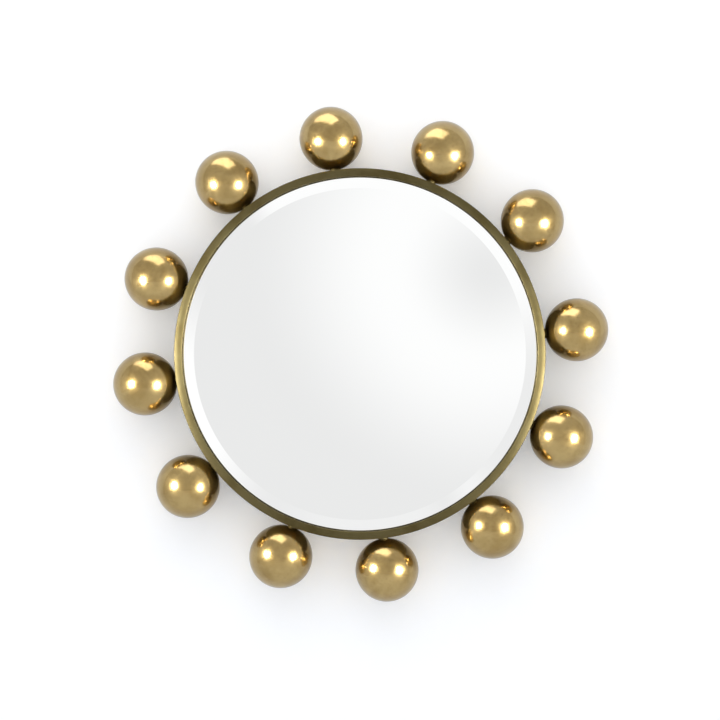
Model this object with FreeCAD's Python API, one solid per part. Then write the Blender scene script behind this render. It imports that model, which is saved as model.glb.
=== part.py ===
"""Girandole mirror: a round bevelled mirror in a rolled brass tube, ringed by twelve hollow brass balls.

Frame: +Z up, the mirror faces -Y, and the wall is the plane y = 0. The origin is the centre of the
ring on that plane. Depths are named from the wall outwards, so a depth d lies at y = -d. Angles round
the ring are in degrees from +X towards +Z, as seen from the front. All sizes are in millimetres.
"""

import FreeCAD, Part
import math
import os

Vec = FreeCAD.Vector
ORIGIN = Vec(0, 0, 0)
DEPTH_AXIS = Vec(0, 1, 0)
FULL_TURN = 360.0

# ---- driving sizes -------------------------------------------------------------------------------
# Ring: a deep rectangular tube, rolled into a hoop, with a softly crowned face.
RING_DIAMETER = 593.0
TUBE_FACE = 12.7
TUBE_DEPTH = 63.5
TUBE_WALL = 1.5
FACE_CROWN = 0.9
TUBE_EDGE_RADIUS = 1.6

# Balls: spun hollow, standing just off the tube at the middle of its depth. They are set by hand,
# so they stray by up to 2 degrees from an even 30.
BALL_ANGLES = (6.4, 37.8, 67.8, 97.8, 127.9, 159.8, 187.9, 217.5, 248.5, 277.0, 307.3, 337.6)
BALL_DIAMETER = 102.0
BALL_WALL = 1.2
BALL_STANDOFF = 3.5
INSERT_DIAMETER = 16.0
INSERT_LENGTH = 18.5
BALL_SCREW_DIAMETER = 5.0
BALL_SCREW_LENGTH = 16.0
BALL_SCREW_HEAD_DIAMETER = 9.5
BALL_SCREW_HEAD_HEIGHT = 2.7
BALL_SCREW_HEAD_ROUNDING = 0.9
WASHER_DIAMETER = 9.8
WASHER_THICKNESS = 1.2
ACCESS_HOLE_DIAMETER = 10.4

# Glass, tape and board.
GLASS_THICKNESS = 5.0
GLASS_RECESS = 4.9
BEVEL_WIDTH = 18.0
GLASS_EDGE = 2.8
TAPE_THICKNESS = 1.0
TAPE_WIDTH = 25.0
TAPE_STRIPS = 5
TAPE_SIDE_MARGIN = 65.0
TAPE_RIM_MARGIN = 22.0
BOARD_THICKNESS = 12.0
BOARD_CHAMFER = 1.0

# Tabs welded inside the hoop, which the board is screwed to.
TAB_COUNT = 8
TAB_PHASE = 22.5
TAB_WIDTH = 26.0
TAB_REACH = 24.0
TAB_THICKNESS = 2.5
TAB_CORNER_RADIUS = 6.0
TAB_SCREW_INSET = 15.0
TAB_SCREW_DIAMETER = 4.0
TAB_SCREW_LENGTH = 12.0

# Plinth: the ring-shaped spacer that holds the tube and balls clear of the wall, glued up from
# three layers of plywood.
PLINTH_TAB_GAP = 5.3
PLINTH_BAND = 68.0
PLINTH_LAYERS = 3
PLINTH_LAYER = 19.0
PLINTH_ROUNDING = 3.0
PLINTH_SCREW_COUNT = 8
PLINTH_SCREW_DIAMETER = 4.5
PLINTH_SCREW_LENGTH = 40.0

# Rubber bumpers between the plinth and the wall.
BUMPER_ANGLES = (20.0, 160.0, 235.0, 305.0)
BUMPER_HEIGHT = 6.0
BUMPER_BASE_DIAMETER = 24.0
BUMPER_FACE_DIAMETER = 20.0
BUMPER_WELL_DEPTH = 3.6
BUMPER_SCREW_DIAMETER = 3.5
BUMPER_SCREW_LENGTH = 16.0

# Hangers: a folded strap, screwed to the plinth, with a swinging D-ring in its eye.
HANGER_ANGLES = {"left": 120.0, "right": 60.0}
STRAP_WIDTH = 14.0
STRAP_LENGTH = 42.0
STRAP_GAUGE = 1.0
STRAP_WRAP = 45.0
STRAP_END_ROUNDING = 6.9
STRAP_SCREW_FIRST = 11.0
STRAP_SCREW_PITCH = 19.0
STRAP_SCREWS = 2
STRAP_SCREW_DIAMETER = 3.5
STRAP_SCREW_LENGTH = 18.0
D_WIRE_DIAMETER = 3.0
D_INNER_WIDTH = 22.0
D_INNER_LENGTH = 16.0
D_CORNER_RADIUS = 3.5

# Fits and gaps.
GLASS_GAP = 0.8
BOARD_GAP = 1.3
WELD_GAP = 0.3
SHANK_GAP = 0.1
EYE_GAP = 0.2
LEAN_GAP = 0.3
BRAZE_GAP = 0.05

# Shapes of the small fasteners, as shares of their shank.
SCREW_HEAD_RATIO = 2.0
HEAD_HEIGHT_RATIO = 0.62
HEAD_ROUNDING_RATIO = 0.4
RECESS_LENGTH_RATIO = 1.1
RECESS_WIDTH_RATIO = 0.25
RECESS_DEPTH_RATIO = 0.3
SOCKET_FLATS = 6
SOCKET_ACROSS_FLATS = 3.0
SOCKET_DEPTH = 1.6
CUTTER_MARGIN = 1.0
NEAR = 0.01

# ---- places that follow from them ----------------------------------------------------------------
RING_RADIUS = RING_DIAMETER / 2
BORE_RADIUS = RING_RADIUS - TUBE_FACE
BALL_RADIUS = BALL_DIAMETER / 2
BALL_CIRCLE_RADIUS = RING_RADIUS + BALL_STANDOFF + BALL_RADIUS
GLASS_RADIUS = BORE_RADIUS - GLASS_GAP
BOARD_RADIUS = BORE_RADIUS - BOARD_GAP
PLINTH_RADIUS = BORE_RADIUS - TAB_REACH - PLINTH_TAB_GAP
PLINTH_BORE_RADIUS = PLINTH_RADIUS - PLINTH_BAND
PLINTH_MID_RADIUS = PLINTH_RADIUS - PLINTH_BAND / 2

PLINTH_BACK = BUMPER_HEIGHT
BOARD_BACK = PLINTH_BACK + PLINTH_LAYERS * PLINTH_LAYER
BOARD_FRONT = BOARD_BACK + BOARD_THICKNESS
GLASS_BACK = BOARD_FRONT + TAPE_THICKNESS
GLASS_FRONT = GLASS_BACK + GLASS_THICKNESS
TAB_BACK = BOARD_BACK - TAB_THICKNESS
RING_FRONT = GLASS_FRONT + GLASS_RECESS
RING_BACK = RING_FRONT - TUBE_DEPTH
BALL_PLANE = RING_BACK + TUBE_DEPTH / 2
TAB_SCREW_RADIUS = BORE_RADIUS - TAB_SCREW_INSET

WIRE_RADIUS = D_WIRE_DIAMETER / 2
EYE_RADIUS = WIRE_RADIUS + EYE_GAP
D_REACH = D_INNER_LENGTH + WIRE_RADIUS
PIVOT_DEPTH = PLINTH_BACK - STRAP_GAUGE - EYE_RADIUS
PIVOT_RISE = (STRAP_LENGTH - D_REACH - WIRE_RADIUS) / 2


# ---- helpers -------------------------------------------------------------------------------------
def at(radius, depth):
    """A point of a profile that is turned about the depth axis."""
    return Vec(radius, -depth, 0)


def line(start, end):
    return Part.makeLine(start, end)


def arc(start, through, end):
    return Part.Arc(start, through, end).toShape()


def outline(edges):
    return Part.Face(Part.Wire(edges))


def polygon(points):
    return Part.Face(Part.makePolygon(list(points) + [points[0]]))


def turned(face):
    """The ring that a profile sweeps round the depth axis."""
    return face.revolve(ORIGIN, DEPTH_AXIS, FULL_TURN)


def round_the_ring(shape, angle):
    """A copy of a shape made on the +X axis, carried round the ring to an angle."""
    copy = shape.copy()
    copy.rotate(ORIGIN, DEPTH_AXIS, -angle)
    return copy


def evenly(count, phase):
    return [phase + FULL_TURN * i / count for i in range(count)]


def radial_cylinder(diameter, inner, outer, depth):
    """A cylinder along +X, from one radius of the ring to another."""
    return Part.makeCylinder(diameter / 2, outer - inner, at(inner, depth), Vec(1, 0, 0))


def depth_cylinder(diameter, x, z, back, front):
    """A cylinder along the depth axis, between two depths."""
    return Part.makeCylinder(diameter / 2, front - back, Vec(x, -back, z), Vec(0, -1, 0))


def cross_recess(diameter, face_depth):
    """The cross cut into a screw head whose top is at a depth, facing the wall."""
    length, width = diameter * RECESS_LENGTH_RATIO, diameter * RECESS_WIDTH_RATIO
    deep = diameter * RECESS_DEPTH_RATIO
    bars = []
    for long_x, long_z in ((length, width), (width, length)):
        corner = Vec(-long_x / 2, -face_depth - deep, -long_z / 2)
        bars.append(Part.makeBox(long_x, deep + CUTTER_MARGIN, long_z, corner))
    return bars[0].fuse(bars[1])


def pan_screw(diameter, length, seat):
    """A pan-head wood screw driven away from the wall, whose head bears on a seat depth."""
    shank, head = diameter / 2, diameter * SCREW_HEAD_RATIO / 2
    top = seat - diameter * HEAD_HEIGHT_RATIO
    tip = seat + length
    screw = turned(polygon([
        at(0, top),
        at(head, top),
        at(head, seat),
        at(shank, seat),
        at(shank, tip - diameter),
        at(0, tip),
    ]))
    brow = max(screw.Edges, key=lambda e: e.BoundBox.YMin + e.BoundBox.XMax)
    screw = screw.makeFillet(diameter * HEAD_ROUNDING_RATIO, [brow])
    return screw.cut(cross_recess(diameter, top))


def countersunk_screw(diameter, length, face_depth):
    """A countersunk wood screw driven towards the wall, whose head is flush at a depth."""
    shank, head = diameter / 2, diameter * SCREW_HEAD_RATIO / 2
    profile = polygon([
        at(0, face_depth),
        at(head, face_depth),
        at(shank, face_depth - (head - shank)),
        at(shank, face_depth - length + diameter),
        at(0, face_depth - length),
    ])
    return turned(profile)


def placed(shape, x, z):
    copy = shape.copy()
    copy.translate(Vec(x, 0, z))
    return copy


def polar(radius, angle):
    """The x and z of a point at a radius and an angle round the ring."""
    return radius * math.cos(math.radians(angle)), radius * math.sin(math.radians(angle))


# ---- ring and balls ------------------------------------------------------------------------------
def tube_profile(inset):
    """The tube's section, drawn in by an inset: square at the back, crowned at the front."""
    inner, outer = BORE_RADIUS + inset, RING_RADIUS - inset
    back, edge, crown = RING_BACK + inset, RING_FRONT - FACE_CROWN - inset, RING_FRONT - inset
    middle = (inner + outer) / 2
    return outline([
        line(at(inner, back), at(outer, back)),
        line(at(outer, back), at(outer, edge)),
        arc(at(outer, edge), at(middle, crown), at(inner, edge)),
        line(at(inner, edge), at(inner, back)),
    ])


def ring_tube():
    outside = turned(tube_profile(0))
    edges = [e for e in outside.Edges if e.Length > math.pi * BORE_RADIUS]
    outside = outside.makeFillet(TUBE_EDGE_RADIUS, edges)
    tube = outside.cut(turned(tube_profile(TUBE_WALL)))
    outer_hole = radial_cylinder(BALL_SCREW_DIAMETER + 2 * SHANK_GAP, RING_RADIUS - TUBE_FACE / 2,
                                 RING_RADIUS + CUTTER_MARGIN, BALL_PLANE)
    access_hole = radial_cylinder(ACCESS_HOLE_DIAMETER, BORE_RADIUS - CUTTER_MARGIN,
                                  BORE_RADIUS + TUBE_FACE / 2, BALL_PLANE)
    pair = Part.makeCompound([outer_hole, access_hole])
    return tube.cut([round_the_ring(pair, angle) for angle in BALL_ANGLES])


def ball_shell():
    """One hollow ball on the +X axis, open where its insert is brazed in."""
    mouth = INSERT_DIAMETER / 2 + BRAZE_GAP
    centre = BALL_CIRCLE_RADIUS

    def rim(radius):
        return at(centre - math.sqrt(radius ** 2 - mouth ** 2), -mouth)

    def crest(radius):
        return at(centre, -radius)

    outer, inner = BALL_RADIUS, BALL_RADIUS - BALL_WALL
    face = outline([
        arc(rim(outer), crest(outer), at(centre + outer, 0)),
        line(at(centre + outer, 0), at(centre + inner, 0)),
        arc(at(centre + inner, 0), crest(inner), rim(inner)),
        line(rim(inner), rim(outer)),
    ])
    shell = face.revolve(ORIGIN, Vec(1, 0, 0), FULL_TURN)
    shell.translate(Vec(0, -BALL_PLANE, 0))
    return shell


def ball_insert():
    """The brazed boss that bears on the tube and takes the screw."""
    boss = radial_cylinder(INSERT_DIAMETER, RING_RADIUS, RING_RADIUS + INSERT_LENGTH, BALL_PLANE)
    thread = radial_cylinder(BALL_SCREW_DIAMETER + 2 * SHANK_GAP, RING_RADIUS - CUTTER_MARGIN,
                             RING_RADIUS + INSERT_LENGTH + CUTTER_MARGIN, BALL_PLANE)
    return boss.cut(thread)


def washer_seat():
    """The radius at which a flat washer meets the hollow side of the tube's outer wall."""
    return math.sqrt((RING_RADIUS - TUBE_WALL) ** 2 - (WASHER_DIAMETER / 2) ** 2)


def ball_washer():
    seat = washer_seat()
    disc = radial_cylinder(WASHER_DIAMETER, seat - WASHER_THICKNESS, seat, BALL_PLANE)
    hole = radial_cylinder(BALL_SCREW_DIAMETER + 2 * SHANK_GAP, seat - WASHER_THICKNESS - CUTTER_MARGIN,
                           seat + CUTTER_MARGIN, BALL_PLANE)
    return disc.cut(hole)


def ball_screw():
    """The socket screw dropped through the tube's inner wall into the ball's insert."""
    seat = washer_seat() - WASHER_THICKNESS
    top = seat - BALL_SCREW_HEAD_HEIGHT
    head = radial_cylinder(BALL_SCREW_HEAD_DIAMETER, top, seat, BALL_PLANE)
    brow = min(head.Edges, key=lambda e: e.BoundBox.XMax)
    head = head.makeFillet(BALL_SCREW_HEAD_ROUNDING, [brow])
    shank = radial_cylinder(BALL_SCREW_DIAMETER, seat, seat + BALL_SCREW_LENGTH, BALL_PLANE)
    corner = SOCKET_ACROSS_FLATS / 2 / math.cos(math.pi / SOCKET_FLATS)
    rim = [polar(corner, angle) for angle in evenly(SOCKET_FLATS, 0)]
    socket = polygon([Vec(top, y - BALL_PLANE, z) for y, z in rim]).extrude(Vec(SOCKET_DEPTH, 0, 0))
    return head.fuse(shank).removeSplitter().cut(socket)


# ---- glass, tape, board and tabs -----------------------------------------------------------------
def mirror_glass():
    flat = GLASS_RADIUS - BEVEL_WIDTH
    return turned(polygon([
        at(0, GLASS_BACK),
        at(GLASS_RADIUS, GLASS_BACK),
        at(GLASS_RADIUS, GLASS_BACK + GLASS_EDGE),
        at(flat, GLASS_FRONT),
        at(0, GLASS_FRONT),
    ]))


def mirror_tape():
    """Upright strips of double-sided foam tape between glass and board."""
    disc = depth_cylinder(2 * (GLASS_RADIUS - TAPE_RIM_MARGIN), 0, 0, BOARD_FRONT, GLASS_BACK)
    reach = GLASS_RADIUS - BEVEL_WIDTH - TAPE_SIDE_MARGIN - TAPE_WIDTH
    strips = []
    for i in range(TAPE_STRIPS):
        left = 2 * reach * i / (TAPE_STRIPS - 1) - reach - TAPE_WIDTH / 2
        corner = Vec(left, -GLASS_BACK, -GLASS_RADIUS)
        strips.append(disc.common(Part.makeBox(TAPE_WIDTH, TAPE_THICKNESS, 2 * GLASS_RADIUS, corner)))
    return strips


def tab_angles():
    return evenly(TAB_COUNT, TAB_PHASE)


def plinth_screw_angles():
    return evenly(PLINTH_SCREW_COUNT, 0)


def pilot(diameter, length, x, z, seat):
    """The hole that a wood screw is driven into, away from the wall."""
    return depth_cylinder(diameter + 2 * SHANK_GAP, x, z, seat - CUTTER_MARGIN, seat + length)


def backing_board():
    board = depth_cylinder(2 * BOARD_RADIUS, 0, 0, BOARD_BACK, BOARD_FRONT)
    rims = [e for e in board.Edges if e.Length > math.pi * BOARD_RADIUS]
    board = board.makeChamfer(BOARD_CHAMFER, rims)
    holes = []
    for angle in tab_angles():
        x, z = polar(TAB_SCREW_RADIUS, angle)
        holes.append(pilot(TAB_SCREW_DIAMETER, TAB_SCREW_LENGTH - TAB_THICKNESS + SHANK_GAP, x, z, BOARD_BACK))
    gap = SHANK_GAP
    shank = PLINTH_SCREW_DIAMETER / 2 + gap
    head = PLINTH_SCREW_DIAMETER * SCREW_HEAD_RATIO / 2 + gap
    countersink = turned(polygon([
        at(0, BOARD_BACK - CUTTER_MARGIN),
        at(shank, BOARD_BACK - CUTTER_MARGIN),
        at(shank, BOARD_FRONT - (head - shank)),
        at(head, BOARD_FRONT),
        at(head, BOARD_FRONT + CUTTER_MARGIN),
        at(0, BOARD_FRONT + CUTTER_MARGIN),
    ]))
    for angle in plinth_screw_angles():
        holes.append(placed(countersink, *polar(PLINTH_MID_RADIUS, angle)))
    return board.cut(holes)


def fixing_tab():
    """A steel tab on the +X axis, its outer edge following the bore it is welded to."""
    inner, outer = BORE_RADIUS - TAB_REACH, BORE_RADIUS - WELD_GAP
    half = TAB_WIDTH / 2
    shoulder = math.sqrt(outer ** 2 - half ** 2)

    def p(x, z):
        return Vec(x, -TAB_BACK, z)

    face = outline([
        line(p(inner, -half), p(shoulder, -half)),
        arc(p(shoulder, -half), p(outer, 0), p(shoulder, half)),
        line(p(shoulder, half), p(inner, half)),
        line(p(inner, half), p(inner, -half)),
    ])
    tab = face.extrude(Vec(0, -TAB_THICKNESS, 0))
    corners = [e for e in tab.Edges if e.BoundBox.XMax < inner + NEAR and e.BoundBox.YLength > NEAR]
    tab = tab.makeFillet(TAB_CORNER_RADIUS, corners)
    hole = depth_cylinder(TAB_SCREW_DIAMETER + 2 * SHANK_GAP, TAB_SCREW_RADIUS, 0,
                          TAB_BACK - CUTTER_MARGIN, BOARD_BACK + CUTTER_MARGIN)
    return tab.cut(hole)


# ---- plinth, bumpers and hangers -----------------------------------------------------------------
def hanger_pivots():
    """The x and z of each D-ring's pivot, by side, with the hanger centred on the plinth's band."""
    pivots = {}
    for side, angle in HANGER_ANGLES.items():
        x, z = polar(PLINTH_MID_RADIUS, angle)
        pivots[side] = (x, z + PIVOT_RISE)
    return pivots


def strap_screw_drops():
    """How far each screw of a strap lies below its pivot."""
    return [STRAP_SCREW_FIRST + i * STRAP_SCREW_PITCH for i in range(STRAP_SCREWS)]


def spacer_plinth():
    plinth = depth_cylinder(2 * PLINTH_RADIUS, 0, 0, PLINTH_BACK, BOARD_BACK)
    plinth = plinth.cut(depth_cylinder(2 * PLINTH_BORE_RADIUS, 0, 0, 0, BOARD_FRONT))
    rims = [e for e in plinth.Edges
            if e.Length > math.pi * PLINTH_BORE_RADIUS and e.BoundBox.YMin > -PLINTH_BACK - NEAR]
    plinth = plinth.makeFillet(PLINTH_ROUNDING, rims)
    holes = []
    for angle in plinth_screw_angles():
        x, z = polar(PLINTH_MID_RADIUS, angle)
        deep = PLINTH_SCREW_LENGTH - BOARD_THICKNESS + SHANK_GAP
        holes.append(depth_cylinder(PLINTH_SCREW_DIAMETER + 2 * SHANK_GAP, x, z,
                                    BOARD_BACK - deep, BOARD_BACK + CUTTER_MARGIN))
    for angle in BUMPER_ANGLES:
        x, z = polar(PLINTH_MID_RADIUS, angle)
        deep = BUMPER_SCREW_LENGTH - (BUMPER_HEIGHT - BUMPER_WELL_DEPTH) + SHANK_GAP
        holes.append(pilot(BUMPER_SCREW_DIAMETER, deep, x, z, PLINTH_BACK))
    for x, z in hanger_pivots().values():
        for drop in strap_screw_drops():
            deep = STRAP_SCREW_LENGTH - 2 * STRAP_GAUGE + SHANK_GAP
            holes.append(pilot(STRAP_SCREW_DIAMETER, deep, x, z - drop, PLINTH_BACK))
    return plinth.cut(holes)


def wall_bumper():
    """A rubber foot, wider at its base, with a well for its screw."""
    base, face = BUMPER_BASE_DIAMETER / 2, BUMPER_FACE_DIAMETER / 2
    well = BUMPER_SCREW_DIAMETER * SCREW_HEAD_RATIO / 2 + SHANK_GAP
    hole = BUMPER_SCREW_DIAMETER / 2 + SHANK_GAP
    return turned(polygon([
        at(hole, PLINTH_BACK),
        at(base, PLINTH_BACK),
        at(face, 0),
        at(well, 0),
        at(well, BUMPER_WELL_DEPTH),
        at(hole, BUMPER_WELL_DEPTH),
    ]))


def hanger_strap():
    """A strip folded round the D-ring's bar and laid back on itself, its pivot at x = z = 0."""
    outer = EYE_RADIUS + STRAP_GAUGE
    lap = PLINTH_BACK - 2 * STRAP_GAUGE
    wrap = math.radians(STRAP_WRAP)
    leave_z, leave_depth = -outer * math.sin(wrap), PIVOT_DEPTH - outer * math.cos(wrap)
    land_z = leave_z - (lap - leave_depth) / math.tan(wrap)

    def p(z, depth):
        return Vec(-STRAP_WIDTH / 2, -depth, z)

    strap = outline([
        line(p(-STRAP_LENGTH, PLINTH_BACK), p(0, PLINTH_BACK)),
        arc(p(0, PLINTH_BACK), p(outer, PIVOT_DEPTH), p(leave_z, leave_depth)),
        line(p(leave_z, leave_depth), p(land_z, lap)),
        line(p(land_z, lap), p(-STRAP_LENGTH, lap)),
        line(p(-STRAP_LENGTH, lap), p(-STRAP_LENGTH, PLINTH_BACK)),
    ]).extrude(Vec(STRAP_WIDTH, 0, 0))
    corners = [e for e in strap.Edges
               if e.BoundBox.ZMax < NEAR - STRAP_LENGTH and e.BoundBox.YLength > NEAR]
    strap = strap.makeFillet(STRAP_END_ROUNDING, corners)
    eye = Part.makeCylinder(EYE_RADIUS, STRAP_WIDTH + 2 * CUTTER_MARGIN,
                            Vec(-STRAP_WIDTH / 2 - CUTTER_MARGIN, -PIVOT_DEPTH, 0), Vec(1, 0, 0))
    holes = [depth_cylinder(STRAP_SCREW_DIAMETER + 2 * SHANK_GAP, 0, -drop, 0, BOARD_BACK)
             for drop in strap_screw_drops()]
    return strap.cut([eye] + holes)


def lean_angle():
    """How far the raised D-ring leans past upright before it meets the plinth."""
    return math.degrees(math.asin((PLINTH_BACK - WIRE_RADIUS - LEAN_GAP - PIVOT_DEPTH) / D_REACH))


def d_ring():
    """A D of bent wire, its straight bar on the pivot at x = z = 0, leaning on the plinth."""
    side = D_INNER_WIDTH / 2 + WIRE_RADIUS
    bend = D_CORNER_RADIUS
    spring = D_REACH - side
    knee = bend * (1 - math.sqrt(0.5))

    def p(x, z):
        return Vec(x, -PIVOT_DEPTH, z)

    path = Part.Wire([
        line(p(0, 0), p(side - bend, 0)),
        arc(p(side - bend, 0), p(side - knee, knee), p(side, bend)),
        line(p(side, bend), p(side, spring)),
        arc(p(side, spring), p(0, D_REACH), p(-side, spring)),
        line(p(-side, spring), p(-side, bend)),
        arc(p(-side, bend), p(-side + knee, knee), p(-side + bend, 0)),
        line(p(-side + bend, 0), p(0, 0)),
    ])
    section = Part.Wire(Part.makeCircle(WIRE_RADIUS, p(0, 0), Vec(1, 0, 0)))
    ring = path.makePipeShell([section], True, False)
    ring.rotate(p(0, 0), Vec(1, 0, 0), lean_angle())
    return ring


# ---- the parts -----------------------------------------------------------------------------------
def save(node, shapes):
    shape = shapes[0] if len(shapes) == 1 else Part.makeCompound(shapes)
    shape.exportStep("parts/" + node + ".step")


def main():
    os.makedirs("parts", exist_ok=True)
    save("ring_tube", [ring_tube()])
    shell = ball_shell()
    for number, angle in enumerate(BALL_ANGLES, 1):
        save("ball_%02d" % number, [round_the_ring(shell, angle)])
    for node, shape in (("ball_inserts", ball_insert()), ("ball_washers", ball_washer()),
                        ("ball_screws", ball_screw())):
        save(node, [round_the_ring(shape, angle) for angle in BALL_ANGLES])

    save("mirror_glass", [mirror_glass()])
    save("mirror_tape", mirror_tape())
    save("backing_board", [backing_board()])
    tab = fixing_tab()
    save("fixing_tabs", [round_the_ring(tab, angle) for angle in tab_angles()])
    screw = pan_screw(TAB_SCREW_DIAMETER, TAB_SCREW_LENGTH, TAB_BACK)
    save("tab_screws", [placed(screw, *polar(TAB_SCREW_RADIUS, angle)) for angle in tab_angles()])

    save("spacer_plinth", [spacer_plinth()])
    screw = countersunk_screw(PLINTH_SCREW_DIAMETER, PLINTH_SCREW_LENGTH, BOARD_FRONT)
    save("plinth_screws", [placed(screw, *polar(PLINTH_MID_RADIUS, angle)) for angle in plinth_screw_angles()])
    screw = pan_screw(BUMPER_SCREW_DIAMETER, BUMPER_SCREW_LENGTH, BUMPER_WELL_DEPTH)
    for node, shape in (("wall_bumpers", wall_bumper()), ("bumper_screws", screw)):
        save(node, [placed(shape, *polar(PLINTH_MID_RADIUS, angle)) for angle in BUMPER_ANGLES])

    pivots = hanger_pivots()
    for node, shape in (("hanger_strap_", hanger_strap()), ("hanger_ring_", d_ring())):
        for side, (x, z) in pivots.items():
            save(node + side, [placed(shape, x, z)])
    screw = pan_screw(STRAP_SCREW_DIAMETER, STRAP_SCREW_LENGTH, PLINTH_BACK - 2 * STRAP_GAUGE)
    save("hanger_screws", [placed(screw, x, z - drop) for x, z in pivots.values()
                           for drop in strap_screw_drops()])


main()
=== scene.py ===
import math

import bmesh
import bpy
from bpy.props import FloatProperty, FloatVectorProperty, IntProperty, PointerProperty
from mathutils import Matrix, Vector


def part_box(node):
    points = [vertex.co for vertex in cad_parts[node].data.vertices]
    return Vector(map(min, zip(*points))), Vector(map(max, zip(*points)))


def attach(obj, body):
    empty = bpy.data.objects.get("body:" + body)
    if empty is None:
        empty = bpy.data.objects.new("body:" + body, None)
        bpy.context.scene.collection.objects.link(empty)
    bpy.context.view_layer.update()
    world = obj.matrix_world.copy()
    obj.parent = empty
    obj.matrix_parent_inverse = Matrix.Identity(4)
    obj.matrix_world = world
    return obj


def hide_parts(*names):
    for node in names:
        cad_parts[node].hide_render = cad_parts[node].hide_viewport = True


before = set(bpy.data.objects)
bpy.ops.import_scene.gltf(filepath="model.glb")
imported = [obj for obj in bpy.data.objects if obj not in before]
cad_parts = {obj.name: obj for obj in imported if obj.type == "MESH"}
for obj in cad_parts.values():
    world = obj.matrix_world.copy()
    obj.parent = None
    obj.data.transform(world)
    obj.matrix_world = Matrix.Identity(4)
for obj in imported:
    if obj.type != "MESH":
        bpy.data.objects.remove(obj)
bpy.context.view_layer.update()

bl_info = {
    "name": "Girandole Mirror",
    "version": (1, 0, 0),
    "blender": (4, 5, 0),
    "location": "View3D > Sidebar > Mirror",
    "description": "Builds a round bevelled wall mirror ringed by brass balls, with its back and its hangers",
    "category": "Add Mesh",
}

BALLS = sorted(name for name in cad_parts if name.startswith("ball_") and name[-1].isdigit())
RING_LOW, RING_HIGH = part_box("ring_tube")
GLASS_LOW, GLASS_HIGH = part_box("mirror_glass")
BOARD_LOW, BOARD_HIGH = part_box("backing_board")
PLINTH_LOW, PLINTH_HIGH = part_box("spacer_plinth")
TABS_LOW, TABS_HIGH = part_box("fixing_tabs")
STRAP_LOW, STRAP_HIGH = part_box("hanger_strap_right")

QUARTER = math.pi / 2
HAIR = 0.00001  # how near to a place a picked vertex has to be, on finely cut edges
NEAR = 0.0001  # the same, elsewhere

# fixed sizes, in metres
WELD_GAP = 0.0003  # between a tab and the bore that it is welded into
LEAN_GAP = 0.0003  # between a raised D-ring and the plinth
MOUTH_DEPTH = 0.002  # of the hole in a ball, round its insert
BUMPER_BORE = 0.0036  # radius of the well round a bumper's screw
STRAP_CORNER = 0.0069  # rounding of a strap's end
TAB_SCREW, SMALL_SCREW = 0.004, 0.0035  # diameters
HANGER_SCREW_DROPS = (0.011, 0.030)  # from the D-ring's bar down to a strap's screws
BUMPER_ANGLES = (20, 160, 235, 305)  # degrees, up from the right-hand side

# a pan-head screw's proportions, as shares of its diameter
HEAD_HEIGHT, HEAD_ROUNDING, DRIVE_DEPTH = 0.62, 0.4, 0.3
DRIVE_LENGTH, DRIVE_WIDTH = 1.1, 0.25

# the lamps: name, place, width and height, watts, and whether the brass or the matt surfaces get the light
LAMP_AIM = (0, -0.05, 0)
LAMPS = (
    ("left_strip", (-1.2, -1.1, -0.045), (0.3, 0.34), 50.0, True),
    ("right_strip", (1.5, -1.4, -0.22), (0.34, 0.45), 104.0, True),
    ("overhead_box", (-0.32, -0.45, 1.62), (1.7, 0.9), 10.5, True),
    ("ceiling_box", (-0.2, -1.3, 1.9), (2.4, 1.8), 14.0, False),
)
# the wall and the floor: name, place, rotation, and the lift that turns them white for the camera
SURFACES = (
    ("wall", (0, 0.001, 0), (QUARTER, 0, 0), 0.20),
    ("floor", (0, -2.0, -1.35), (0, 0, 0), 0.75),
)
SURFACE_SIZE = 7.0
MATT_SKIPS, GLOSSY_SKIPS = 0.13, 0.045  # behind the plinth, surfaces this near to the wall don't see it

# the light that the glass gives back, by direction: dim and bright levels, then soft spots
GLASS_DIM, GLASS_BRIGHT = 0.85, 1.02
BEVEL_SPOTS = (  # across, up, radius, strength
    (-0.40, -0.12, 0.30, 0.20),
    (0.40, -0.16, 0.34, -0.15),
    (0.04, -0.36, 0.26, 0.05),
)


# ---- sizes and colours a user would change -------------------------------------------------------
def length(name, description, default):
    """A size in metres."""
    return FloatProperty(name=name, description=description, default=default, min=0.0, unit="LENGTH",
                         precision=5)


def turn(name, description, degrees):
    """An angle, given in degrees."""
    return FloatProperty(name=name, description=description, default=math.radians(degrees), subtype="ANGLE")


def colour(name, description, default):
    """A linear colour."""
    return FloatVectorProperty(name=name, description=description, default=default, size=3, min=0.0, max=1.0,
                               subtype="COLOR")


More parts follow.
